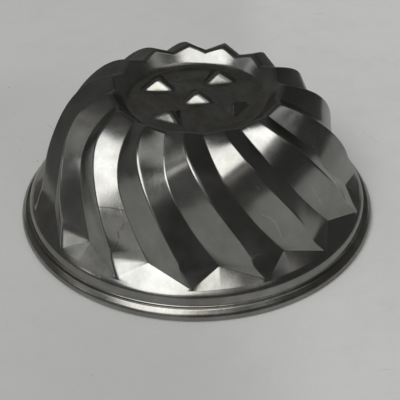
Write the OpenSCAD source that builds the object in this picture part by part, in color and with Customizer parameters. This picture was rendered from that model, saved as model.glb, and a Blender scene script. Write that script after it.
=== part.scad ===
// Swirled bundt pan, lying rim down with its crown up.
// The pan is one pressed sheet whose lower edge is curled round a wire.
// Millimetres, +Z up. The origin is the centre of the rim, on the plane the rim rests on.

/* [Rim] */
// Outside diameter over the rolled rim
rim_d = 220; // [218:1:226]
// Diameter of the wire that the edge is curled round
wire_d = 4.2; // [3.8:0.1:4.2]
// Outside radius of the curl round the wire
curl_r = 2.9; // [2.8:0.05:3]
// Angle round the wire at which the free edge of the curl stops
curl_end = 130; // [110:5:140]
// Height of the small step between the rolled edge and the collar
step_z = 7.4; // [7.2:0.1:7.6]

/* [Sheet] */
// Thickness of the pressed sheet
sheet_t = 0.8; // [0.6:0.1:1]
// Radius at the foot of the plain collar above the rim
collar_r = 104.9; // [104.6:0.1:105]
// Height at which the collar ends and the flutes begin
collar_z = 15.4; // [14:0.2:16]

/* [Flutes] */
// Number of swirled flutes round the pan
flutes = 15; // [12:1:18]
// Angle that a ridge turns through from its foot to the crown
swirl = 29.7; // [0:0.1:36]
// Radius of the ridges at their foot
ridge_foot_r = 101.5; // [101:0.1:102]
// Radius of the valleys at their foot
valley_foot_r = 91.8; // [90:0.2:96]
// Height of the valleys at their foot
valley_foot_z = 23.9; // [22:0.1:26]
// How far the foot of a ridge bends outwards
foot_flare = 2.1; // [0:0.1:3.6]
// Angle that the foot of a ridge is kinked sideways
foot_kink = 0.9; // [0:0.1:3]
// Height of the bend in the foot of a ridge
foot_bend_z = 25.6; // [24:0.2:32]
// How far up a ridge the fold across the foot of a narrow face starts, as a share of its length
fold_share = 0.075; // [0.04:0.005:0.1]
// Share of a flute's pitch taken by the narrow face to the right of a ridge
narrow_face = 0.375; // [0.32:0.005:0.5]
// How far the sharp ridge is rounded off, as a share of the face
ridge_round = 0.05; // [0.03:0.01:0.1]

/* [Crown] */
// Height of the ridges at the crest of the crown
crest_ridge_z = 84.0; // [82:0.2:88]
// Height of the valleys at the crest of the crown
crest_valley_z = 80.6; // [78:0.2:81.6]
// Radius of the crest on the ridges
crest_r = 53.2; // [52:0.2:55]
// How much nearer the middle the crest runs on the valleys
crest_wave = 2.0; // [0:0.2:3]
// Slope of the wall that runs down from the crest to the dish floor
bowl_slope = 45; // [42:1:48]
// Radius at which the bowl's wall would meet the dish floor
dish_r = 40.6; // [39:0.2:42]
// Height of the dish floor
dish_z = 74.5; // [73:0.1:75.5]
// Radius of the blend between the bowl's wall and the floor
dish_blend = 8; // [4:0.5:9]
// Distance from the middle of a stud to one of its three sides
stud_r = 5.8; // [4:0.1:6.5]
// Height of a stud
stud_h = 4.6; // [2:0.1:6]

/* [Hidden] */
$fn = 96;

// ---- Points: polar ones are [radius, height, angle], others [x, y, z] ----
function polar(radius, height, angle) = [radius * cos(angle), radius * sin(angle), height];
function place(point, turn) = polar(point[0], point[1], point[2] + turn);
function angle_of(point) = atan2(point[1], point[0]);
function radius_of(point) = norm([point[0], point[1]]);
function unit(vector) = vector / norm(vector);
function bezier(ctrl, t) =
    pow(1 - t, 3) * ctrl[0] + 3 * pow(1 - t, 2) * t * ctrl[1] +
    3 * (1 - t) * t * t * ctrl[2] + t * t * t * ctrl[3];

// ---- Flutes: t runs from 0 at the foot to 1 at the crest ----
pitch = 360 / flutes;
first_ridge_angle = 4.5;
ridge_foot_z = 16;
flare_top_z = 48;       // the bend in a ridge's foot has faded out here
flare_fade = 1.6;       // exponent of that fading
lag_rate = 0.1;         // pace of a valley below the fold
lag_end = 0.42;         // the valley has caught up with the ridges here
valley_angle = narrow_face * pitch;
valley_swirl = 0.89 * swirl;

// Cubic control points, [radius, height, angle]
ridge_ctrl = [
    [ridge_foot_r, ridge_foot_z, 0],
    [86.2, 55.4, -0.395 * swirl],
    [79.0, 78.2, -0.880 * swirl],
    [crest_r, crest_ridge_z, -swirl]];
valley_ctrl = [
    [valley_foot_r, valley_foot_z, valley_angle],
    [75.6, 56.0, valley_angle - 0.63 * valley_swirl],
    [81.6, 64.2, valley_angle - 0.71 * valley_swirl],
    [crest_r - crest_wave, crest_valley_z, valley_angle - valley_swirl]];

// A ridge bends quickly from its foot up to the kink, and the bend fades out above it.
function bend(z) =
    max(0, min((z - ridge_foot_z) / (foot_bend_z - ridge_foot_z),
               pow(max(0, flare_top_z - z) / (flare_top_z - foot_bend_z), flare_fade)));
function ridge_at(t) =
    let (point = bezier(ridge_ctrl, t), share = bend(point[1]))
    [point[0] - foot_flare * share, point[1], point[2] - foot_kink * share];

// The foot of a valley lags behind the ridges,
// so the fold runs from the bend in a ridge down to the valley's foot.
function lag(t) =
    let (fold_lag = lag_rate * fold_share)
    t < fold_share ? lag_rate * t :
    t < lag_end ? fold_lag + (t - fold_share) * (lag_end - fold_lag) / (lag_end - fold_share) : t;

// How far each of a flute's mesh columns is from the ridge (0) to the valley (1)
weights = [ridge_round, 0.5, 1, 0.5, ridge_round];
flute_cols = len(weights);
valley_col = 2;
cols = flutes * flute_cols;

// Flat faces run straight from a ridge line to a valley line.
// Columns past the valley belong to the next ridge.
function wall(t, flute, col) =
    let (turn = first_ridge_angle + flute * pitch,
         next_turn = first_ridge_angle + (flute + 1) * pitch,
         valley = place(bezier(valley_ctrl, lag(t)), turn),
         ridge = place(ridge_at(t), col > valley_col ? next_turn : turn))
    ridge + weights[col] * (valley - ridge);
function foot_angle(flute, col) = angle_of(wall(0, flute, col));
function crest_angle(flute, col) = angle_of(wall(1, flute, col));

// ---- Crest and dish ----
crest_probe = 0.985;    // the wall's climb at the crest is taken from here to 1
floor_rings = 14;
floor_r = dish_r - dish_blend * tan(bowl_slope / 2);

// The wall folds over the crest: an arc that ends on the slope of the bowl
function fold(share, flute, col) =
    let (crest = wall(1, flute, col),
         below = wall(crest_probe, flute, col),
         radius = radius_of(crest),
         climb = atan2(crest[2] - below[2], radius_of(below) - radius),
         turn = climb + bowl_slope,
         tangent = (cos(bowl_slope) * (dish_z - crest[2])
                    - sin(bowl_slope) * (dish_r - radius)) / sin(turn),
         arc_r = tangent / tan(turn / 2),
         slope = climb - turn * share)
    polar(radius + arc_r * (sin(slope) - sin(climb)),
          crest[2] + arc_r * (cos(slope) - cos(climb)), angle_of(crest));

// The bowl blends into the dish floor
function blend(share, flute, col) =
    let (slope = bowl_slope * (1 - share))
    polar(floor_r + dish_blend * sin(slope), dish_z + dish_blend * (1 - cos(slope)),
          crest_angle(flute, col));

// Three-sided studs raised from the dish floor: [x, y, angle that one side faces]
studs = [[0.4, -0.2, -84], [-22.6, 15.4, -90], [14.2, 24.6, -69],
         [-15.2, -20.1, -117], [21.3, -10.2, -150]];
stud_top = 0.8;         // a stud is cut off flat at this share of its height

function inside_side(x, y, stud, angle) =
    stud_r - (x - stud[0]) * cos(angle) - (y - stud[1]) * sin(angle);
function stud_rise(x, y, stud) =
    let (depths = [for (i = [0:2]) inside_side(x, y, stud, stud[2] + 120 * i)])
    stud_h / stud_r * max(0, min(min(depths), stud_top * stud_r));
function raised(x, y, i = 0) =
    i < len(studs) ? stud_rise(x, y, studs[i]) + raised(x, y, i + 1) : 0;
function dish_floor(radius, flute, col) =
    let (point = polar(radius, dish_z, crest_angle(flute, col)))
    [point[0], point[1], dish_z + raised(point[0], point[1])];

// ---- Outer skin: rows of points from the step on the rim to the middle of the dish ----
// [radius, height]
collar = [[collar_r, step_z], [collar_r - 0.45, 9.4], [collar_r - 1.28, collar_z - 3.4],
          [collar_r - 2.15, collar_z - 1.4], [ridge_foot_r + 0.1, collar_z - 0.15]];
// Shares of the way along each stretch
wall_steps = [0, 0.038, fold_share, 0.115, 0.175, 0.25, 0.335, 0.43, 0.53, 0.63, 0.74, 0.86, 1];
fold_steps = [0.22, 0.46, 0.72, 1];
blend_steps = [0, 0.34, 0.67, 1];

function ring(maker) =
    [for (flute = [0:flutes - 1]) for (col = [0:flute_cols - 1]) maker(flute, col)];

skin = concat(
    [for (p = collar) ring(function (flute, col) polar(p[0], p[1], foot_angle(flute, col)))],
    [for (t = wall_steps) ring(function (flute, col) wall(t, flute, col))],
    [for (share = fold_steps) ring(function (flute, col) fold(share, flute, col))],
    [for (share = blend_steps) ring(function (flute, col) blend(share, flute, col))],
    [for (i = [1:floor_rings])
        ring(function (flute, col) dish_floor(floor_r * (1 - i / (floor_rings + 1)), flute, col))]);
rows = len(skin);

function outer(i, j) = skin[max(0, min(rows - 1, i))][(j + cols) % cols];
function normal(i, j) =
    unit(cross(outer(i, j + 1) - outer(i, j - 1), outer(i + 1, j) - outer(i - 1, j)));
// The lower edge of the sheet stays flat, so that it sits squarely on the step
function inner(i, j) =
    let (point = outer(i, j))
    i == 0 ? polar(radius_of(point) - sheet_t, step_z, angle_of(point))
           : point - sheet_t * normal(i, j);

centre_z = dish_z + raised(0, 0);
shell_points = concat(
    [for (i = [0:rows - 1]) for (j = [0:cols - 1]) outer(i, j)],
    [for (i = [0:rows - 1]) for (j = [0:cols - 1]) inner(i, j)],
    [[0, 0, centre_z], [0, 0, centre_z - sheet_t]]);

// Indices into shell_points
function out_id(i, j) = i * cols + j % cols;
function in_id(i, j) = rows * cols + out_id(i, j);
out_centre = 2 * rows * cols;
in_centre = out_centre + 1;
last = rows - 1;

shell_faces = concat(
    [for (i = [0:last - 1]) for (j = [0:cols - 1]) each [
        [out_id(i, j), out_id(i + 1, j), out_id(i + 1, j + 1)],
        [out_id(i, j), out_id(i + 1, j + 1), out_id(i, j + 1)],
        [in_id(i, j), in_id(i + 1, j + 1), in_id(i + 1, j)],
        [in_id(i, j), in_id(i, j + 1), in_id(i + 1, j + 1)]]],
    // The two centre fans, and the band that closes the lower edge
    [for (j = [0:cols - 1]) each [
        [out_id(last, j), out_centre, out_id(last, j + 1)],
        [in_id(last, j), in_id(last, j + 1), in_centre],
        [out_id(0, j), out_id(0, j + 1), in_id(0, j + 1)],
        [out_id(0, j), in_id(0, j + 1), in_id(0, j)]]]);

// The drawn sheet: plain collar, swirled flutes, crest and studded dish
module pan_shell()
    color("silver")
    polyhedron(points = shell_points, faces = shell_faces, convexity = 10);

// ---- Rim: the sheet runs out over the step, slopes down to the curl and wraps the wire ----
rim_r = rim_d / 2;
flat_angle = 75;        // the curl rests on a narrow flat, cut at this angle round the wire
wire_at = [rim_r - curl_r, curl_r * sin(flat_angle)];   // [radius, height]
wire_gap = 0.05;
curl_in_r = wire_d / 2 + wire_gap;
curl_t = curl_r - curl_in_r;
curl_stop = curl_end - 360;

// A wider arc leads into the curl and meets it at lead_angle
lead_angle = 20;
lead_step = 9;
lead_top = lead_angle + 3 * lead_step;
lead_r = curl_r + 1.76;
lead_at = arc_point(wire_at, curl_r - lead_r, lead_angle);

// Both sides of the sheet over the step: [distance in from the rim's edge, height from step_z]
step_out = [[6.1, 0], [5.1, 0], [4.7, -0.06], [4.2, -0.2], [3.8, -0.24], [3.4, -0.18],
            [3.1, -0.2], [2.8, -0.36], [2.5, -0.62]];
step_in = [[3.05, -1.2], [3.4, -1], [3.8, -1], [4.2, -1], [4.7, -0.88], [5.1, -0.8], [6.1, -0.8]];

function arc_point(centre, radius, angle) =
    [centre[0] + radius * cos(angle), centre[1] + radius * sin(angle)];
function arc(centre, radius, angles) = [for (angle = angles) arc_point(centre, radius, angle)];
function step_side(table) = [for (p = table) [rim_r - p[0], step_z + p[1]]];

// The outline follows the outside of the sheet and comes back along its inside
rim_outline = concat(
    step_side(step_out),
    arc(lead_at, lead_r, [lead_top : -lead_step : lead_angle + lead_step]),
    arc(wire_at, curl_r, [lead_angle, 5, -10, -25, -40, -55, -flat_angle]),
    arc(wire_at, curl_r, [flat_angle - 180 : -14 : curl_stop + 1]),
    arc(wire_at, curl_r, [curl_stop]),
    arc(wire_at, curl_in_r, [curl_stop : 12 : lead_angle - 1]),
    arc(lead_at, lead_r - curl_t, [lead_angle : lead_step : lead_top]),
    step_side(step_in));

// The rolled edge that stiffens the rim and that the pan rests on
module rim_curl()
    color("gainsboro")
    rotate_extrude() polygon(rim_outline);

// The wire inside the rolled edge
module rim_wire()
    color("dimgray")
    rotate_extrude() translate(wire_at) circle(r = wire_d / 2);

pan_shell();
rim_curl();
rim_wire();
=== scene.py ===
# A swirled, fluted steel pan standing upside down on a pale table. Its axis is the z axis, its
# rolled rim rests at z = 0, and a shallow dish with raised studs is sunk into its crown at the
# top. The camera and the main light are on the front side, towards -y. The pan is worked out in
# millimetres and turned into metres when its meshes are made.
import math
import bpy
import numpy as np
from mathutils import Matrix


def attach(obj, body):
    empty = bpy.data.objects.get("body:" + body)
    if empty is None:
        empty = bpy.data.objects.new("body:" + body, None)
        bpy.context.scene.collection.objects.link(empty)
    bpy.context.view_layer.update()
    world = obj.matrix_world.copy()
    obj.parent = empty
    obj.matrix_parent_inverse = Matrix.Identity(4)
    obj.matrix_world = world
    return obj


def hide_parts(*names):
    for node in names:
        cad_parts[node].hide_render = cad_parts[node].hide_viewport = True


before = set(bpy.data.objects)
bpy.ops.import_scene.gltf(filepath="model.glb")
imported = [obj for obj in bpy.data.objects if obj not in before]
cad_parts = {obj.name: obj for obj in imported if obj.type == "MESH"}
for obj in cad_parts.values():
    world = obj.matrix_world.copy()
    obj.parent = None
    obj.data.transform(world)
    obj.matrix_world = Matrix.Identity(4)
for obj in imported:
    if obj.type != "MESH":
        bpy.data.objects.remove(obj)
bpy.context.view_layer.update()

MM = 0.001

# ---------------------------------------------------------------- pan shape, in mm and degrees
FLUTES = 15
PITCH = 360.0 / FLUTES
FIRST_RIDGE = 4.5               # angle of the foot of the first ridge
SHEET_T = 0.8

# Bezier control points from foot to crest: radius, height, angle
SWIRL = 29.7                    # how far a ridge turns on its way up
VALLEY_SWIRL = 0.89 * SWIRL
VALLEY_START = 0.375 * PITCH    # from the foot of a ridge to the foot of the valley on its right
RIDGE = np.array([[101.5, 16.0, 0.0],
                  [86.2, 55.4, -0.395 * SWIRL],
                  [79.0, 78.2, -0.880 * SWIRL],
                  [53.2, 84.0, -SWIRL]])
VALLEY = np.array([[91.8, 23.9, VALLEY_START],
                   [75.6, 56.0, VALLEY_START - 0.63 * VALLEY_SWIRL],
                   [81.6, 64.2, VALLEY_START - 0.71 * VALLEY_SWIRL],
                   [51.2, 80.5, VALLEY_START - VALLEY_SWIRL]])

# each ridge bends near its foot, most strongly near BEND_Z
BEND_IN, BEND_TURN = 2.1, 0.9   # inwards, and round the pan
BEND_Z, BEND_TOP = 25.6, 48.0
BEND_BLEND = 0.12

# the foot of a valley lags behind the ridges: rise on the ridges, rise on the valley
LAG_END = 0.42
VALLEY_LAG = [(0.0, 0.0), (0.075, 0.0075), (LAG_END, LAG_END), (1.0, 1.0)]

# widths of the two faces of a flute at the foot, and half widths of the rounded corners
NARROW_FACE, WIDE_FACE = 14.5, 23.5
CROWN_NARROWING = 0.35
RIDGE_ROUND, VALLEY_ROUND = 1.0, 0.35
FOOT_BLUNT, FOOT_BLUNT_RISE = 0.7, 0.07    # extra rounding of a ridge's foot, and its reach

# the dish: a conical wall that would meet the floor at CORNER_R, blended into it by an arc
FLOOR_Z, CORNER_R, BLEND_R = 74.5, 40.6, 8.0
BOWL_SLOPE = math.radians(45.0)
BLEND_REACH = BLEND_R * math.tan(BOWL_SLOPE / 2)
FLOOR_R = CORNER_R - BLEND_REACH
FLOOR_STEP = 0.8                # spacing of the points on the dish floor

# three-sided studs on the dish floor: x, y, direction one side faces, middle to side, height
STUDS = [(0.4, 0.2, -84.0, 6.5, 5.9), (-22.6, 15.8, -90.0, 7.0, 6.4), (13.6, 24.2, -80.0, 6.8, 6.2),
         (-15.2, -19.9, -117.0, 6.7, 5.9), (21.3, -10.2, -150.0, 6.2, 5.4)]
STUD_CORNER, STUD_EDGE = 4.4, 0.8          # rounding between the sides and at the base
STUD_GAIN = 1.06                # makes up for the height lost to rounding

# plain collar, radius and height: fillet on the step, steep side, shoulder under the flutes
COLLAR = [(105.5, 7.4), (105.26, 7.47), (105.04, 7.64), (104.88, 7.92), (104.78, 8.3),
          (104.66, 9.0), (104.5, 10.0), (104.32, 11.0), (104.08, 11.9), (103.82, 12.6),
          (103.5, 13.2), (103.1, 13.75), (102.6, 14.3), (102.1, 14.82), (101.75, 15.17),
          (101.6, 15.31)]
COLLAR_TOP = (101.5, 15.43)
LOWER_EDGE_R = 104.0            # inside radius of the square-cut lower edge

# Mesh stations. Across a flute: 0 on a ridge, 1 in the valley, 2 on the next ridge.
ACROSS = [0.0, 0.02, 0.04, 0.07, 0.12, 0.22, 0.36, 0.5, 0.64, 0.78, 0.88, 0.94, 0.975, 1.0,
          1.015, 1.04, 1.08, 1.15, 1.24, 1.34, 1.44, 1.54, 1.64, 1.74, 1.82, 1.88, 1.925, 1.955,
          1.975]
# the others are shares of the way along each part
END_FACETS = [0.0, 0.06, 0.15, 0.3, 0.45, 0.6, 0.75, 0.86, 0.93, 0.97]
WALL = [0, .006, .013, .022, .034, .05, .07, .09, .11, .13, .15, .17, .19, .215, .245, .28,
        *np.linspace(.32, .96, 21), .98, 1.0]
CREST_ARC = [.05, .12, .2, .29, .38, .48, .58, .68, .78, .88, .95, 1.0]
BOWL_WALL = [0.2, 0.4, 0.6, 0.8, 1.0]
FLOOR_ARC = [.12, .25, .38, .5, .62, .75, .88, 1.0]


# ---------------------------------------------------------------- curves
def bezier(points, t):
    return ((1 - t) ** 3 * points[0] + 3 * (1 - t) ** 2 * t * points[1]
            + 3 * (1 - t) * t * t * points[2] + t ** 3 * points[3])


def polar(radius, z, degrees):
    angle = np.radians(degrees)
    return np.stack([radius * np.cos(angle), radius * np.sin(angle), z + 0 * angle], -1)


def rounded(s, half):
    """max(s, 0) with its corner rounded over a half width."""
    return np.where(s <= -half, 0.0, np.where(s >= half, s, (s + half) ** 2 / (4 * half)))


def smooth_min(a, b, width):
    """Smaller of a and b, with the corner between them rounded over a width."""
    share = np.clip(0.5 + 0.5 * (b - a) / width, 0, 1)
    return b * (1 - share) + a * share - width * share * (1 - share)


def ridge_line(rise):
    """Radius, height and angle on a ridge, from its foot (rise 0) to its crest (rise 1)."""
    point = bezier(RIDGE, rise)
    foot_z = RIDGE[0, 1]
    growing = np.clip((point[1] - foot_z) / (BEND_Z - foot_z), 0, None)
    fading = np.clip((BEND_TOP - point[1]) / (BEND_TOP - BEND_Z), 0, None) ** 1.6
    bend = np.clip(smooth_min(growing, fading, BEND_BLEND), 0, 1)
    return point - bend * np.array([BEND_IN, 0.0, BEND_TURN])


def valley_line(rise):
    """Radius, height and angle in a valley, level with the same rise on the ridges."""
    on_ridge, in_valley = zip(*VALLEY_LAG)
    return bezier(VALLEY, np.interp(rise, on_ridge, in_valley))


def corner(offset, half, point, before, before_width, after, after_width):
    """Two flat faces meeting in a rounded corner at a point; offset is the distance past it."""
    ahead = rounded(offset, half) / after_width
    behind = rounded(-offset, half) / before_width
    return point + ahead[:, None] * (after - point) + behind[:, None] * (before - point)


def wall(rise, across, turn):
    """Row of points on the fluted wall, at the given places across flutes turned by turn."""
    def turned(line, extra):
        return polar(line[0], line[1], line[2] + turn + extra)

    ridge, next_ridge = [turned(ridge_line(rise), extra) for extra in (0, PITCH)]
    last_valley, valley, next_valley = [turned(valley_line(rise), extra)
                                        for extra in (-PITCH, 0, PITCH)]
    narrowing = 1 - CROWN_NARROWING * rise
    narrow, wide = NARROW_FACE * narrowing, WIDE_FACE * narrowing
    half = RIDGE_ROUND + FOOT_BLUNT * np.exp(-(rise / FOOT_BLUNT_RISE) ** 2)

    near_ridge = corner(across * narrow, half, ridge, last_valley, wide, valley, narrow)
    near_valley = corner((across - 1) * np.where(across < 1, narrow, wide), VALLEY_ROUND,
                         valley, ridge, narrow, next_ridge, wide)
    near_next = corner((across - 2) * wide, half, next_ridge, valley, wide, next_valley, narrow)
    return np.where((across < 0.5)[:, None], near_ridge,
                    np.where((across > 1.5)[:, None], near_next, near_valley))


def stud_height(x, y):
    """Height of the studs above the dish floor."""
    top = np.zeros_like(x)
    for stud_x, stud_y, facing, reach, height in STUDS:
        inside = []
        for i in range(3):
            angle = math.radians(facing + 120 * i)
            inside.append(reach - (x - stud_x) * math.cos(angle) - (y - stud_y) * math.sin(angle))
        depth = smooth_min(smooth_min(inside[0], inside[1], STUD_CORNER), inside[2], STUD_CORNER)
        top = np.maximum(top, STUD_GAIN * height / reach * rounded(depth, STUD_EDGE))
    return top


# ---------------------------------------------------------------- outer skin of the pan
def dish_rows(crest, below_crest):
    """Rows from the crest over its fold, down the bowl wall and into the floor."""
    degrees = np.degrees(np.arctan2(crest[:, 1], crest[:, 0]))
    crest_r, crest_z = np.hypot(crest[:, 0], crest[:, 1]), crest[:, 2]
    # the fold is an arc from the wall's own slope to the slope of the bowl
    up = np.arctan2(crest_z - below_crest[:, 2],
                    np.hypot(below_crest[:, 0], below_crest[:, 1]) - crest_r)
    down = BOWL_SLOPE
    down_r, down_z = math.cos(down), math.sin(down)
    # distance from the crest to where the two slopes would meet
    tangent = ((down_r * (FLOOR_Z - crest_z) - down_z * (CORNER_R - crest_r))
               / (down_z * np.cos(up) + down_r * np.sin(up)))
    fold = tangent / np.tan((up + down) / 2)
    middle_r, middle_z = crest_r - fold * np.sin(up), crest_z - fold * np.cos(up)
    rows = []
    for share in CREST_ARC:
        angle = up - (up + down) * share
        rows.append(polar(middle_r + fold * np.sin(angle), middle_z + fold * np.cos(angle),
                          degrees))
    top_r, top_z = middle_r - fold * down_z, middle_z + fold * down_r
    end_r, end_z = CORNER_R + BLEND_REACH * down_r, FLOOR_Z + BLEND_REACH * down_z
    for share in BOWL_WALL:
        rows.append(polar(top_r + (end_r - top_r) * share, top_z + (end_z - top_z) * share,
                          degrees))
    for share in FLOOR_ARC:
        angle = down * (1 - share)
        rows.append(polar(FLOOR_R + BLEND_R * math.sin(angle),
                          FLOOR_Z + BLEND_R * (1 - math.cos(angle)), degrees))
    return rows


def skin_rows():
    """Points from the step on the rim to the dish floor, as an array [row, column, xyz]."""
    turn = np.repeat(FIRST_RIDGE + PITCH * np.arange(FLUTES), len(ACROSS))
    across = np.tile(ACROSS, FLUTES)
    foot = wall(0.0, across, turn)
    degrees = np.degrees(np.arctan2(foot[:, 1], foot[:, 0]))
    base = polar(*COLLAR_TOP, degrees)
    rows = [polar(radius, z, degrees) for radius, z in COLLAR]
    rows += [base + (foot - base) * share for share in END_FACETS]
    rows += [wall(rise, across, turn) for rise in WALL]
    rows += dish_rows(rows[-1], wall(0.985, across, turn))
    return np.array(rows)


def floor_rings():
    """Rings of the dish floor, outermost first."""
    rings = []
    radius = FLOOR_R
    while radius > FLOOR_STEP * 1.2:
        radius -= FLOOR_STEP
        count = max(8, round(2 * math.pi * radius / FLOOR_STEP))
        degrees = np.arange(count) * 360.0 / count + (len(rings) % 2) * 180.0 / count
        ring = polar(radius, 0.0, degrees)
        ring[:, 2] = FLOOR_Z + stud_height(ring[:, 0], ring[:, 1])
        rings.append(ring)
    return rings


def zipper(outer_ids, outer, inner_ids, inner):
    """Triangles between two closed rings, given the indices and positions of their points."""
    full = 2 * math.pi
    outer_angles = np.unwrap(np.arctan2(outer[:, 1], outer[:, 0]))
    inner_angles = np.unwrap(np.arctan2(inner[:, 1], inner[:, 0]))
    # start the inner ring at the point nearest in angle to the outer ring's first point
    gap = np.abs((inner_angles - outer_angles[0] + math.pi) % full - math.pi)
    start = int(gap.argmin())
    inner_ids = inner_ids[start:] + inner_ids[:start]
    inner_angles = np.concatenate([inner_angles[start:], inner_angles[:start] + full])
    inner_angles = inner_angles - round((inner_angles[0] - outer_angles[0]) / full) * full
    # close both rings
    outer_angles = [*outer_angles, outer_angles[0] + full]
    inner_angles = [*inner_angles, inner_angles[0] + full]
    outer_ids = outer_ids + outer_ids[:1]
    inner_ids = inner_ids + inner_ids[:1]
    last_i, last_j = len(outer), len(inner)
    i = j = 0
    faces = []
    while i < last_i or j < last_j:
        if j >= last_j or (i < last_i and outer_angles[i + 1] <= inner_angles[j + 1]):
            faces.append((outer_ids[i], outer_ids[i + 1], inner_ids[j]))
            i += 1
        else:
            faces.append((outer_ids[i], inner_ids[j + 1], inner_ids[j]))
            j += 1
    return faces


def outer_skin():
    """Vertices and faces of the outer skin, and the number of points in each of its rows."""
    rows = skin_rows()
    row_count, columns = rows.shape[:2]
    faces = []
    for i in range(row_count - 1):
        low, high = i * columns, (i + 1) * columns
        for j in range(columns):
            k = (j + 1) % columns
            faces.append((low + j, low + k, high + k, high + j))
    verts = [rows.reshape(-1, 3)]
    total = row_count * columns
    last_ids, last_ring = list(range(total - columns, total)), rows[-1]
    for ring in floor_rings():
        ids = list(range(total, total + len(ring)))
        faces += zipper(last_ids, last_ring, ids, ring)
        verts.append(ring)
        total += len(ring)
        last_ids, last_ring = ids, ring
    verts.append(np.array([[0.0, 0.0, FLOOR_Z + stud_height(0.0, 0.0)]]))
    for j in range(len(last_ids)):
        faces.append((last_ids[j], last_ids[(j + 1) % len(last_ids)], total))
    return np.concatenate(verts), faces, columns


# ---------------------------------------------------------------- mesh pieces
def vertex_normals(verts, faces):
    """Area-weighted vertex normals of a mesh of triangles and quads."""
    triangles = []
    for face in faces:
        triangles.append(face[:3])
        if len(face) == 4:
            triangles.append((face[0], face[2], face[3]))
    triangles = np.array(triangles)
    a, b, c = (verts[triangles[:, i]] for i in range(3))
    face_normals = np.cross(b - a, c - a)
    normals = np.zeros_like(verts)
    for i in range(3):
        np.add.at(normals, triangles[:, i], face_normals)
    return normals / np.maximum(np.linalg.norm(normals, axis=1, keepdims=True), 1e-12)


def ripple(points, seed, shortest, longest, waves=14):
    """Smooth seeded unevenness of about unit size, with wavelengths in millimetres."""
    rng = np.random.default_rng(seed)
    total = np.zeros(len(points))
    for _ in range(waves):
        direction = rng.normal(size=3)
        direction /= np.linalg.norm(direction)
        length = math.exp(rng.uniform(math.log(shortest), math.log(longest)))
        phase = rng.uniform(0, 2 * math.pi)
        total += np.sin(points @ direction * 2 * math.pi / length + phase)
    return total / math.sqrt(waves)


def new_object(name, verts, faces, material, smooth=True):
    mesh = bpy.data.meshes.new(name)
    mesh.from_pydata(verts, [], faces)
    mesh.validate()
    mesh.update()
    for polygon in mesh.polygons:
        polygon.use_smooth = smooth
    obj = bpy.data.objects.new(name, mesh)
    bpy.context.scene.collection.objects.link(obj)
    mesh.materials.append(material)
    return obj


def pressed_sheet(material):
    """The pressed sheet as a closed skin: outside, inside and lower edge on the rim's step."""
    verts, faces, columns = outer_skin()
    # hand-pressed unevenness, fading in above the collar's foot
    fade = np.clip((verts[:, 2] - 9.0) / 12.0, 0, 1)
    bump = (0.055 * ripple(verts, seed=3, shortest=16, longest=42)
            + 0.016 * ripple(verts, seed=8, shortest=7, longest=14))
    outside = verts + vertex_normals(verts, faces) * (bump * fade)[:, None]
    inside = outside - SHEET_T * vertex_normals(outside, faces)
    # the lower edge is cut square
    edge = verts[:columns]
    inside[:columns] = edge * (LOWER_EDGE_R / np.hypot(edge[:, 0], edge[:, 1]))[:, None]
    inside[:columns, 2] = edge[:, 2]
    count = len(outside)
    closed = faces + [tuple(i + count for i in reversed(face)) for face in faces]
    for j in range(columns):
        k = (j + 1) % columns
        closed.append((k, j, j + count, k + count))
    all_verts = np.concatenate([outside, inside]) * MM
    return new_object("pan_sheet", all_verts.tolist(), closed, material)


# Section of the step and the rolled edge, radius and height in mm: the sheet runs out over the
# step, slopes down to the curl and wraps round the wire.
CURL_R, CURL_T = 2.9, 0.75
WIRE = (107.1, CURL_R * math.sin(math.radians(75.0)))
LEAD_EXTRA, LEAD_ANGLE = 1.76, 20       # the wider arc leading into the curl
STEP_OUTSIDE = [(103.95, 7.4), (104.9, 7.4), (105.4, 7.36), (105.8, 7.22), (106.2, 7.15),
                (106.6, 7.2), (106.9, 7.2), (107.2, 7.04), (107.5, 6.76), (108.1, 6.14)]
STEP_INSIDE = [(107.6, 5.55), (107.0, 6.14), (106.6, 6.4), (106.2, 6.4), (105.8, 6.4),
               (105.3, 6.52), (104.9, 6.6), (103.95, 6.6)]
CURL_OUTSIDE = [*range(20, -61, -10), -68, -75, -105, -112, *range(-122, -230, -12), -230]
RIM_TURNS = 540
# wavering of the hand-rolled edge: size in mm, waves round the pan, phase
WAVER = [(0.05, 3, 0.7), (0.03, 7, 2.1), (0.02, 19, 0.0)]


def rim_section():
    def arc(centre, radius, angles):
        return [(centre[0] + radius * math.cos(math.radians(angle)),
                 centre[1] + radius * math.sin(math.radians(angle))) for angle in angles]

    lead_r = CURL_R + LEAD_EXTRA
    lead = arc(WIRE, -LEAD_EXTRA, [LEAD_ANGLE])[0]
    return np.array(STEP_OUTSIDE
                    + arc(lead, lead_r, (47, 42, 37, 31, 25))
                    + arc(WIRE, CURL_R, CURL_OUTSIDE)
                    + arc(WIRE, CURL_R - CURL_T, range(-230, 15, 12))
                    + arc(lead, lead_r - CURL_T, (20, 30, 40, 47))
                    + STEP_INSIDE)


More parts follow.
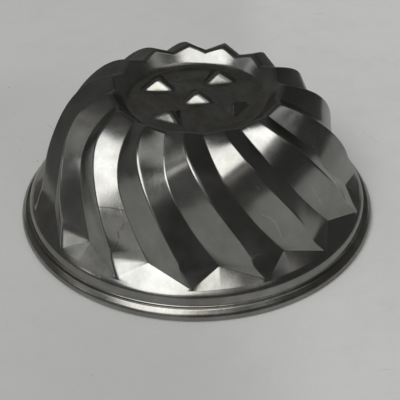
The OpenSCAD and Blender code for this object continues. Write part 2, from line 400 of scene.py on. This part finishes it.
def rolled_rim(material):
    """The step and the rolled edge: one strip of sheet swept round the pan."""
    loop = rim_section()
    for _ in range(2):      # cut the corners twice
        ahead = np.roll(loop, -1, axis=0)
        loop = np.stack([0.75 * loop + 0.25 * ahead, 0.25 * loop + 0.75 * ahead], 1)
        loop = loop.reshape(-1, 2)
    angle = (np.arange(RIM_TURNS) * 2 * math.pi / RIM_TURNS)[:, None]
    waver = sum(size * np.sin(waves * angle + phase) for size, waves, phase in WAVER)
    # the waver grows outwards from the step, and upwards from the underside
    outwards = np.clip((loop[:, 0] - 104.6) / 2.0, 0, 1)
    upwards = outwards * np.clip((loop[:, 1] - 3.0) / 3.0, 0, 1)
    radius = loop[:, 0] + (waver - 0.05) * outwards
    height = loop[:, 1] + 0.7 * waver * upwards
    verts = np.stack([radius * np.cos(angle), radius * np.sin(angle), height], -1) * MM
    count = len(loop)
    faces = []
    for i in range(RIM_TURNS):
        here, there = i * count, (i + 1) % RIM_TURNS * count
        for j in range(count):
            k = (j + 1) % count
            faces.append((here + j, there + j, there + k, here + k))
    return new_object("rolled_rim", verts.reshape(-1, 3).tolist(), faces, material)


# ---------------------------------------------------------------- node helpers
class Graph:
    """Small helper for building node trees."""

    def __init__(self, tree):
        self.tree = tree
        tree.nodes.clear()

    def node(self, kind, **props):
        node = self.tree.nodes.new(kind)
        for name, value in props.items():
            setattr(node, name, value)
        return node

    def put(self, socket, value):
        """Link a socket, or set its value; a colour of three numbers gets an alpha of 1."""
        if isinstance(value, bpy.types.NodeSocket):
            self.tree.links.new(value, socket)
        elif isinstance(value, tuple) and len(value) == 3 and len(socket.default_value) == 4:
            socket.default_value = (*value, 1.0)
        else:
            socket.default_value = value

    def fill(self, node, *values):
        for socket, value in zip(node.inputs, values):
            self.put(socket, value)
        return node

    def math(self, operation, *values):
        return self.fill(self.node("ShaderNodeMath", operation=operation), *values).outputs[0]

    def fold(self, operation, total, *rest):
        for value in rest:
            total = self.math(operation, total, value)
        return total

    def mul(self, *values):
        return self.fold("MULTIPLY", *values)

    def add(self, *values):
        return self.fold("ADD", *values)

    def largest(self, *values):
        return self.fold("MAXIMUM", *values)

    def weigh(self, a, a_weight, b, b_weight):
        return self.add(self.mul(a, a_weight), self.mul(b, b_weight))

    def compare(self, operation, a, b):
        """Dot product or distance of two vectors."""
        node = self.node("ShaderNodeVectorMath", operation=operation)
        return self.fill(node, a, b).outputs["Value"]

    def scale(self, vector, factor):
        node = self.fill(self.node("ShaderNodeVectorMath", operation="SCALE"), vector)
        self.put(node.inputs["Scale"], factor)
        return node.outputs[0]

    def vec(self, x, y, z):
        return self.fill(self.node("ShaderNodeCombineXYZ"), x, y, z).outputs[0]

    def xyz(self, vector):
        return tuple(self.fill(self.node("ShaderNodeSeparateXYZ"), vector).outputs)

    def ramp(self, value, span, out=(0, 1), kind="SMOOTHSTEP"):
        """Change from out[0] to out[1] while the value goes from span[0] to span[1]."""
        if span[1] < span[0]:
            span, out = span[::-1], out[::-1]
        node = self.node("ShaderNodeMapRange", interpolation_type=kind, clamp=True)
        self.put(node.inputs["Value"], value)
        node.inputs["From Min"].default_value, node.inputs["From Max"].default_value = span
        node.inputs["To Min"].default_value, node.inputs["To Max"].default_value = out
        return node.outputs[0]

    def noise(self, vector, scale, detail, rough, distortion=0.0):
        node = self.node("ShaderNodeTexNoise")
        self.put(node.inputs["Vector"], vector)
        node.inputs["Scale"].default_value = scale
        node.inputs["Detail"].default_value = detail
        node.inputs["Roughness"].default_value = rough
        node.inputs["Distortion"].default_value = distortion
        return node.outputs[0]

    def blend(self, factor, a, b):
        node = self.node("ShaderNodeMix", data_type="RGBA")
        for index, value in ((0, factor), (6, a), (7, b)):
            self.put(node.inputs[index], value)
        return node.outputs[2]

    def layers(self, colour, table):
        """Lay colours over one another. Each entry: mask, amount, colour."""
        for mask, amount, over in table:
            colour = self.blend(self.mul(mask, amount), colour, over)
        return colour

    def bump(self, height, strength, distance, normal=None):
        node = self.node("ShaderNodeBump")
        self.put(node.inputs["Height"], height)
        self.put(node.inputs["Strength"], strength)
        node.inputs["Distance"].default_value = distance
        if normal is not None:
            self.put(node.inputs["Normal"], normal)
        return node.outputs[0]

    def surface(self, colour, rough, normal, metallic=0.0, specular=0.5):
        bsdf = self.node("ShaderNodeBsdfPrincipled")
        for name, value in (("Base Color", colour), ("Roughness", rough), ("Normal", normal),
                            ("Metallic", metallic), ("Specular IOR Level", specular)):
            self.put(bsdf.inputs[name], value)
        self.put(self.node("ShaderNodeOutputMaterial").inputs["Surface"], bsdf.outputs[0])
        return bsdf


def new_material(name):
    """A material, its graph and the object coordinates in millimetres."""
    material = bpy.data.materials.new(name)
    material.use_nodes = True
    net = Graph(material.node_tree)
    return material, net, net.scale(net.node("ShaderNodeTexCoord").outputs["Object"], 1 / MM)


def tint(colour, *factors):
    """A colour times one factor for all its channels, or one for each."""
    return tuple(min(1.0, c * k) for c, k in zip(colour, factors * (3 // len(factors))))


# ---------------------------------------------------------------- steel
# single marks on the side, in mm: distance round the side and height, from start to end
DARK_LINES = [((-184.3, 41.2), (-184.9, 38.9)), ((-186.3, 37.6), (-185.0, 34.6)),
              ((-185.2, 32.6), (-185.6, 30.4)), ((-201.63, 48.85), (-194.03, 48.6)),
              ((-194.03, 48.6), (-185.51, 47.2))]
PALE_LINES = [((-96.97, 43.5), (-94.75, 41.4)), ((-94.75, 41.4), (-92.09, 32.3)),
              ((-101.88, 46.9), (-96.65, 44.0)), ((-62.21, 49.3), (-58.77, 40.4)),
              ((-58.77, 40.4), (-56.16, 35.5))]
RING_MARK, RING_MARK_R = (-149.06, 28.22, 0.0), 1.15


def side_marks(net, around, z, radius, grain):
    """Masks of the dark marks and the pale marks."""
    flat = net.vec(around, z, 0)

    def lines(ends, half):
        mask = 0.0
        for (x0, y0), (x1, y1) in ends:
            run = (x1 - x0, y1 - y0, 0.0)
            start = x0 * run[0] + y0 * run[1]
            along = net.ramp(net.compare("DOT_PRODUCT", flat, run), kind="LINEAR",
                             span=(start, start + run[0] ** 2 + run[1] ** 2))
            nearest = net.vec(net.add(x0, net.mul(along, run[0])),
                              net.add(y0, net.mul(along, run[1])), 0)
            gap = net.compare("DISTANCE", flat, nearest)
            mask = net.largest(mask, net.ramp(gap, span=(half, half * 0.35)))
        return mask

    def worn(mask, weakest):
        return net.mul(mask, net.ramp(grain, span=(0.30, 0.50), out=(weakest, 1)),
                       net.ramp(radius, span=(60, 64)))

    dark = lines(DARK_LINES, half=0.55)
    pale = lines(PALE_LINES, half=0.50)
    from_ring = net.add(net.compare("DISTANCE", flat, RING_MARK), -RING_MARK_R)
    ring = net.ramp(net.math("ABSOLUTE", from_ring), span=(0.50, 0.15))
    return worn(net.largest(dark, ring), weakest=0.55), worn(pale, weakest=0.35)


def dish_stain(net, point, z, radius):
    """Stains on the dish floor, thickest in a ring along its edge."""
    in_dish = net.mul(net.ramp(radius, span=(46, 40)), net.ramp(z, span=(60, 70)))
    ring = net.mul(net.ramp(radius, span=(30, 38)), net.ramp(radius, span=(46, 41)),
                   net.ramp(z, span=(60, 70)))
    blots = net.noise(point, scale=0.06, detail=6, rough=0.68, distortion=0.6)
    ring_blots = net.noise(point, scale=0.09, detail=5, rough=0.7)
    stain = net.largest(net.mul(in_dish, net.ramp(blots, span=(0.42, 0.62))),
                        net.mul(ring, net.ramp(ring_blots, span=(0.40, 0.60))))
    return net.mul(stain, net.ramp(z, span=(76.6, 75.2)))


def rim_dark_band(net, point, x, z):
    """A darker, duller band along the underside, reaching higher up at the left and right."""
    sides = net.mul(net.ramp(net.math("ABSOLUTE", x), span=(55, 88)),
                    net.ramp(z, span=(3.5, 2.3)))
    patchy = net.noise(point, scale=0.08, detail=4, rough=0.6)
    return net.mul(net.largest(net.ramp(z, span=(1.5, 0.7)), sides),
                   net.ramp(patchy, span=(0.30, 0.60), out=(0.70, 0.95)))


def metal(name, base, rough, dish=True, rim=False, streak=1.0):
    """Old drawn steel: mottled colour, drawing lines, scratches, grime and stains."""
    material, net, point = new_material(name)
    x, y, z = net.xyz(point)
    radius = net.math("SQRT", net.add(net.mul(x, x), net.mul(y, y)))
    # position unrolled on the side of the pan: round it and up it
    around = net.mul(net.math("ARCTAN2", y, x), 90)
    up = net.add(z, net.mul(radius, -0.6))

    mottled = net.noise(point, scale=0.055, detail=5, rough=0.62)
    cloudy = net.noise(point, scale=0.018, detail=2, rough=0.5)
    grain = net.noise(point, scale=1.6, detail=3, rough=0.6)
    # drawing lines: noise stretched up the side and round the pan
    lines_up = net.noise(net.vec(net.mul(around, 2.4), net.mul(up, 0.10), net.mul(radius, 0.05)),
                         scale=1, detail=3, rough=0.65)
    lines_round = net.noise(net.vec(net.mul(around, 0.05), net.mul(z, 2.6), net.mul(radius, 2.6)),
                            scale=1, detail=2, rough=0.6)
    # thin scratches: very long, very narrow noise in two directions, cut off near its peaks
    steep = net.noise(net.vec(net.weigh(around, 0.9, up, 0.55),
                              net.mul(net.weigh(up, 0.9, around, -0.5), 0.05), 3),
                      scale=1, detail=2, rough=0.6)
    level = net.noise(net.vec(net.mul(net.weigh(around, 0.3, up, -0.2), 0.08),
                              net.weigh(up, 1.3, around, 0.35), 11),
                      scale=1, detail=2, rough=0.6)
    scratch = net.mul(net.largest(net.ramp(steep, span=(0.70, 0.74)),
                                  net.ramp(level, span=(0.71, 0.75))),
                      net.ramp(mottled, span=(0.42, 0.60)))

    grime = net.ramp(net.noise(point, scale=0.035, detail=6, rough=0.7, distortion=0.4),
                     span=(0.50, 0.72))
    if dish:
        stain = dish_stain(net, point, z, radius)
    else:
        blots = net.noise(point, scale=0.03, detail=5, rough=0.7)
        stain = net.mul(net.ramp(blots, span=(0.50, 0.66)), 0.35)
    left_blots = net.noise(point, scale=0.07, detail=5, rough=0.7)
    left = net.mul(net.ramp(x, span=(-60, -95)), net.ramp(z, span=(40, 12)),
                   net.ramp(left_blots, span=(0.40, 0.60)))
    low_blots = net.noise(point, scale=0.10, detail=5, rough=0.7)
    low = net.mul(net.ramp(z, span=(18, 8)), net.ramp(low_blots, span=(0.42, 0.66)))

    colour = net.blend(net.ramp(mottled, span=(0.3, 0.7)), tint(base, 0.80), tint(base, 1.14))
    colour = net.layers(colour, [
        (net.ramp(cloudy, span=(0.4, 0.65)), 0.35, tint(base, 1.03, 1.0, 0.93)),
        (net.ramp(lines_up, span=(0.35, 0.65)), 0.16, tint(base, 0.72)),
        (grime, 0.30, tint(base, 0.62, 0.60, 0.52)),
        (stain, 0.65, tint(base, 0.60, 0.56, 0.40)),
        (left, 0.50, tint(base, 0.72, 0.62, 0.42)),
        (low, 0.30, tint(base, 0.66, 0.60, 0.48))])
    roughness = net.add(rough, net.ramp(mottled, span=(0.3, 0.7), out=(-0.025, 0.035)),
                        net.mul(grime, 0.05), net.mul(stain, 0.08), net.mul(scratch, 0.10),
                        net.ramp(grain, span=(0.3, 0.7), out=(-0.015, 0.02)))
    if rim:
        # a near-black, rougher, less metallic band along the underside of the rim, wider at the
        # left and right sides
        dark_band = rim_dark_band(net, point, x, z)
        colour = net.blend(dark_band, colour, (0.035, 0.034, 0.030))
        roughness = net.add(roughness, net.mul(dark_band, 0.35))
    colour = net.layers(colour, [(scratch, 0.35, tint(base, 1.5))])
    if dish:
        dark, pale = side_marks(net, around, z, radius, grain)
        colour = net.layers(colour, [(dark, 0.60, tint(base, 0.40)),
                                     (pale, 0.45, tint(base, 1.5))])

    normal = None
    # relief: pattern, strength, depth in metres
    for pattern, strength, depth in ((lines_up, 0.26 * streak, 0.00006),
                                     (lines_round, 0.08 * streak, 0.00005),
                                     (grain, 0.10, 0.00004), (scratch, 0.25, 0.00004)):
        normal = net.bump(pattern, strength, depth, normal)
    bsdf = net.surface(colour, roughness, normal, metallic=1.0, specular=0.2 if rim else 0.5)
    if rim:
        net.put(bsdf.inputs["Metallic"], net.add(1.0, net.mul(dark_band, -0.9)))
    return material


# ---------------------------------------------------------------- table, light and camera
def table_material():
    """Pale worn table top."""
    material, net, point = new_material("pale_table")
    x, y, _ = net.xyz(point)
    big = net.noise(point, scale=0.006, detail=4, rough=0.6)
    mid = net.noise(point, scale=0.03, detail=5, rough=0.65)
    fine = net.noise(point, scale=0.4, detail=4, rough=0.7)
    # painted light: the camera sees a top painted paler at the sides and back, as if more light
    # fell there; the pan mirrors a plainer one
    camera_ray = net.node("ShaderNodeLightPath").outputs["Is Camera Ray"]
    painted_light = net.largest(net.ramp(x, span=(-15, 80)),
                        net.ramp(x, span=(-40, -110), out=(0, 0.22)),
                        net.ramp(y, span=(90, 200), out=(0, 0.50)))
    # painted light: the top the pan mirrors is painted paler near the front right, as if more light
    # fell there
    painted_light_near_right = net.mul(net.ramp(x, span=(-15, 80)), net.ramp(y, span=(20, -60)))
    mirrored = net.blend(painted_light_near_right, (0.68, 0.685, 0.68), (0.80, 0.805, 0.80))
    seen = net.blend(painted_light, (0.755, 0.76, 0.755), (0.95, 0.955, 0.955))
    # what the pan mirrors far to the right, back and front is dark
    far = net.largest(net.ramp(x, span=(230, 380)),
                      net.largest(net.ramp(y, span=(205, 300)), net.ramp(y, span=(-400, -540))))
    dark = net.mul(far, net.math("SUBTRACT", 1, camera_ray))
    # fine scratches in two directions, only in some areas
    areas = net.noise(point, scale=0.02, detail=3, rough=0.6)
    scratches = [net.noise(net.vec(across, net.mul(along, squeeze), offset),
                           scale=1, detail=2, rough=0.6)
                 for across, along, squeeze, offset in (
                     (net.weigh(x, 0.45, y, 0.30), net.weigh(y, 0.4, x, -0.3), 0.035, 2),
                     (net.weigh(x, 0.05, y, -0.45), net.weigh(y, 0.1, x, 0.4), 0.03, 9))]
    scratch = net.mul(net.largest(*[net.ramp(s, span=(0.72, 0.75)) for s in scratches]),
                      net.ramp(areas, span=(0.50, 0.62)))
    # one faint dull patch in front, and a few specks
    patch = net.mul(net.ramp(net.compare("DISTANCE", point, (0, -178, 0)), span=(17, 3.4)),
                    net.ramp(mid, span=(0.35, 0.6)))
    specks = net.mul(net.ramp(net.noise(point, scale=0.16, detail=2, rough=0.5),
                              span=(0.73, 0.77)), net.ramp(big, span=(0.42, 0.55)))
    colour = net.layers(net.blend(camera_ray, mirrored, seen), [
        (net.ramp(big, span=(0.35, 0.7)), 0.16, (0.64, 0.642, 0.63)),
        (net.ramp(mid, span=(0.45, 0.75)), 0.10, (0.53, 0.53, 0.51)),
        (net.ramp(fine, span=(0.40, 0.75)), 0.05, (0.45, 0.45, 0.44)),
        (scratch, 0.80, (0.44, 0.44, 0.42)),
        (patch, 0.45, (0.52, 0.50, 0.42)),
        (specks, 0.5, (0.22, 0.22, 0.20))])
    colour = net.blend(dark, colour, (0.14, 0.14, 0.138))
    net.surface(colour, net.ramp(mid, span=(0.3, 0.7), out=(0.55, 0.70)),
                net.bump(fine, strength=0.10, distance=0.0002), specular=0.25)
    return material


# The lights are soft-edged patches on a plane square to LIGHT_AXIS, at unit distance.
LIGHT_AXIS = (-0.15413, -0.53753, 0.82904)
LIGHT_RIGHT = (0.96126, -0.27564, 0.0)
LIGHT_UP = (0.22851, 0.79692, 0.55919)
# patches: left, right, bottom and top edge, softness, brightness
MAIN_LIGHT = (-0.56, 0.46, -0.48, 0.39, 0.07, 3.05)
SIDE_LIGHTS = [(-0.34, 0.22, -0.98, -0.54, 0.06, 0.46),     # below the main light
               (-1.42, -1.08, -0.46, -0.22, 0.05, 1.70),    # low on the left
               (-1.52, -1.14, -0.02, 0.75, 0.08, 0.85),     # bright part of the left
               (0.70, 0.92, -0.02, 0.42, 0.05, 0.75),       # right
               (0.05, 1.45, 0.52, 0.95, 0.12, 0.60),        # wide glow at upper right
               (0.30, 0.50, 0.40, 0.78, 0.06, 0.90),        # top
               (-1.60, -0.66, -0.2, 0.52, 0.10, 0.35),      # broad dim left
               (0.10, 0.60, -0.42, 0.02, 0.20, 0.36)]       # halo at the main light's right
# slanting cuts on the main light: slope, and where y + slope * x goes from dark to lit
MAIN_CUTS = [(-0.60, (0.56, 0.42)), (0.68, (0.57, 0.49)),
             (-1.33, (-0.55, -0.36)), (1.5, (-1.08, -0.92))]


def studio_world():
    """One large soft light high in front, dimmer patches around it, dark elsewhere."""
    world = bpy.data.worlds.new("studio")
    world.use_nodes = True
    net = Graph(world.node_tree)
    direction = net.node("ShaderNodeTexCoord").outputs["Generated"]

    def part(axis):
        return net.compare("DOT_PRODUCT", direction, axis)

    facing = part(LIGHT_AXIS)
    inverse = net.math("DIVIDE", 1, net.largest(facing, 0.05))
    x = net.mul(part(LIGHT_RIGHT), inverse)
    y = net.mul(part(LIGHT_UP), inverse)
    z = part((0.0, 0.0, 1.0))

    def patch(x0, x1, y0, y1, soft):
        return net.mul(net.ramp(x, span=(x0 - soft, x0 + soft)),
                       net.ramp(x, span=(x1 + soft, x1 - soft)),
                       net.ramp(y, span=(y0 - soft, y0 + soft)),
                       net.ramp(y, span=(y1 + soft, y1 - soft)))

    main = patch(*MAIN_LIGHT[:5])
    for slope, span in MAIN_CUTS:
        main = net.mul(main, net.ramp(net.add(y, net.mul(x, slope)), span=span))
    light = net.mul(main, MAIN_LIGHT[5])
    for *shape, brightness in SIDE_LIGHTS:
        light = net.largest(light, net.mul(patch(*shape), brightness))
    light = net.mul(light, net.ramp(facing, span=(0.06, 0.25)))
    # dim sky, brightest near the horizon and on the left
    sky = net.mul(net.ramp(z, span=(-0.02, 0.9), out=(1.25, 0.90)),
                  net.ramp(x, span=(-0.3, 0.6), out=(0.098, 0.060)))
    light = net.largest(light, sky)
    below = net.ramp(z, span=(-0.005, -0.02))
    light = net.add(net.mul(light, net.math("SUBTRACT", 1, below)), net.mul(below, 0.10))
    # the camera itself sees a plain grey backdrop
    camera_ray = net.node("ShaderNodeLightPath").outputs["Is Camera Ray"]
    colour = net.blend(camera_ray, net.scale((1.0, 1.0, 0.985), light), (0.62, 0.625, 0.62))
    background = net.node("ShaderNodeBackground")
    net.put(background.inputs["Color"], colour)
    net.put(net.node("ShaderNodeOutputWorld").inputs["Surface"], background.outputs[0])
    bpy.context.scene.world = world


TABLE_HALF, TABLE_CELLS, TABLE_DROP = 1.6, 24, 0.0001      # metres, cells a side, metres


def table():
    side = TABLE_CELLS + 1
    places = [-TABLE_HALF + 2 * TABLE_HALF * i / TABLE_CELLS for i in range(side)]
    verts = [(x, y, 0.0) for y in places for x in places]
    faces = []
    for j in range(TABLE_CELLS):
        for i in range(TABLE_CELLS):
            k = j * side + i
            faces.append((k, k + 1, k + side + 1, k + side))
    obj = new_object("table", verts, faces, table_material(), smooth=False)
    obj.location.z = -TABLE_DROP
    return obj


ELEVATION, ROLL = 0.645643715, -0.00540489      # radians
LENS, SENSOR = 77.5274175, 36.0                 # mm
# the pan's origin seen from the camera, in metres: right, down, ahead
ORIGIN_SEEN = np.array([-0.0020734879, 0.00010048423, 0.5514033778])


def camera():
    data = bpy.data.cameras.new("camera")
    obj = bpy.data.objects.new("camera", data)
    bpy.context.scene.collection.objects.link(obj)
    data.sensor_width = SENSOR
    data.sensor_fit = "HORIZONTAL"
    data.lens = LENS
    data.clip_start = 0.01
    sin_e, cos_e = math.sin(ELEVATION), math.cos(ELEVATION)
    sin_r, cos_r = math.sin(ROLL), math.cos(ROLL)
    roll = np.array([[cos_r, -sin_r, 0], [sin_r, cos_r, 0], [0, 0, 1]])
    tilt = np.array([[1, 0, 0], [0, -sin_e, -cos_e], [0, cos_e, -sin_e]])
    to_world = (roll @ tilt).T
    pose = np.eye(4)
    pose[:3, :3] = to_world @ np.diag([1.0, -1.0, -1.0])    # Blender's y is up, z backwards
    pose[:3, 3] = -to_world @ ORIGIN_SEEN
    obj.matrix_world = Matrix(pose.tolist())
    bpy.context.scene.camera = obj


# ---------------------------------------------------------------- the scene
sheet_mat = metal("aged_drawn_steel", base=(0.326, 0.325, 0.312), rough=0.17)
rim_mat = metal("aged_rolled_steel", base=(0.335, 0.332, 0.316), rough=0.21, dish=False,
                rim=True, streak=0.5)
wire_mat = metal("dull_steel_wire", base=(0.20, 0.195, 0.18), rough=0.40, dish=False)

sheet = pressed_sheet(sheet_mat)
rim = rolled_rim(rim_mat)
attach(sheet, "root")
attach(rim, "root")
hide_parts("pan_shell")
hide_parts("rim_curl")
for piece, piece_mat in (("pan_shell", sheet_mat), ("rim_curl", rim_mat), ("rim_wire", wire_mat)):
    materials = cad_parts[piece].data.materials
    materials.clear()
    materials.append(piece_mat)

table()
studio_world()
camera()
bpy.context.scene.view_settings.view_transform = "Standard"
bpy.context.scene.view_settings.look = "None"
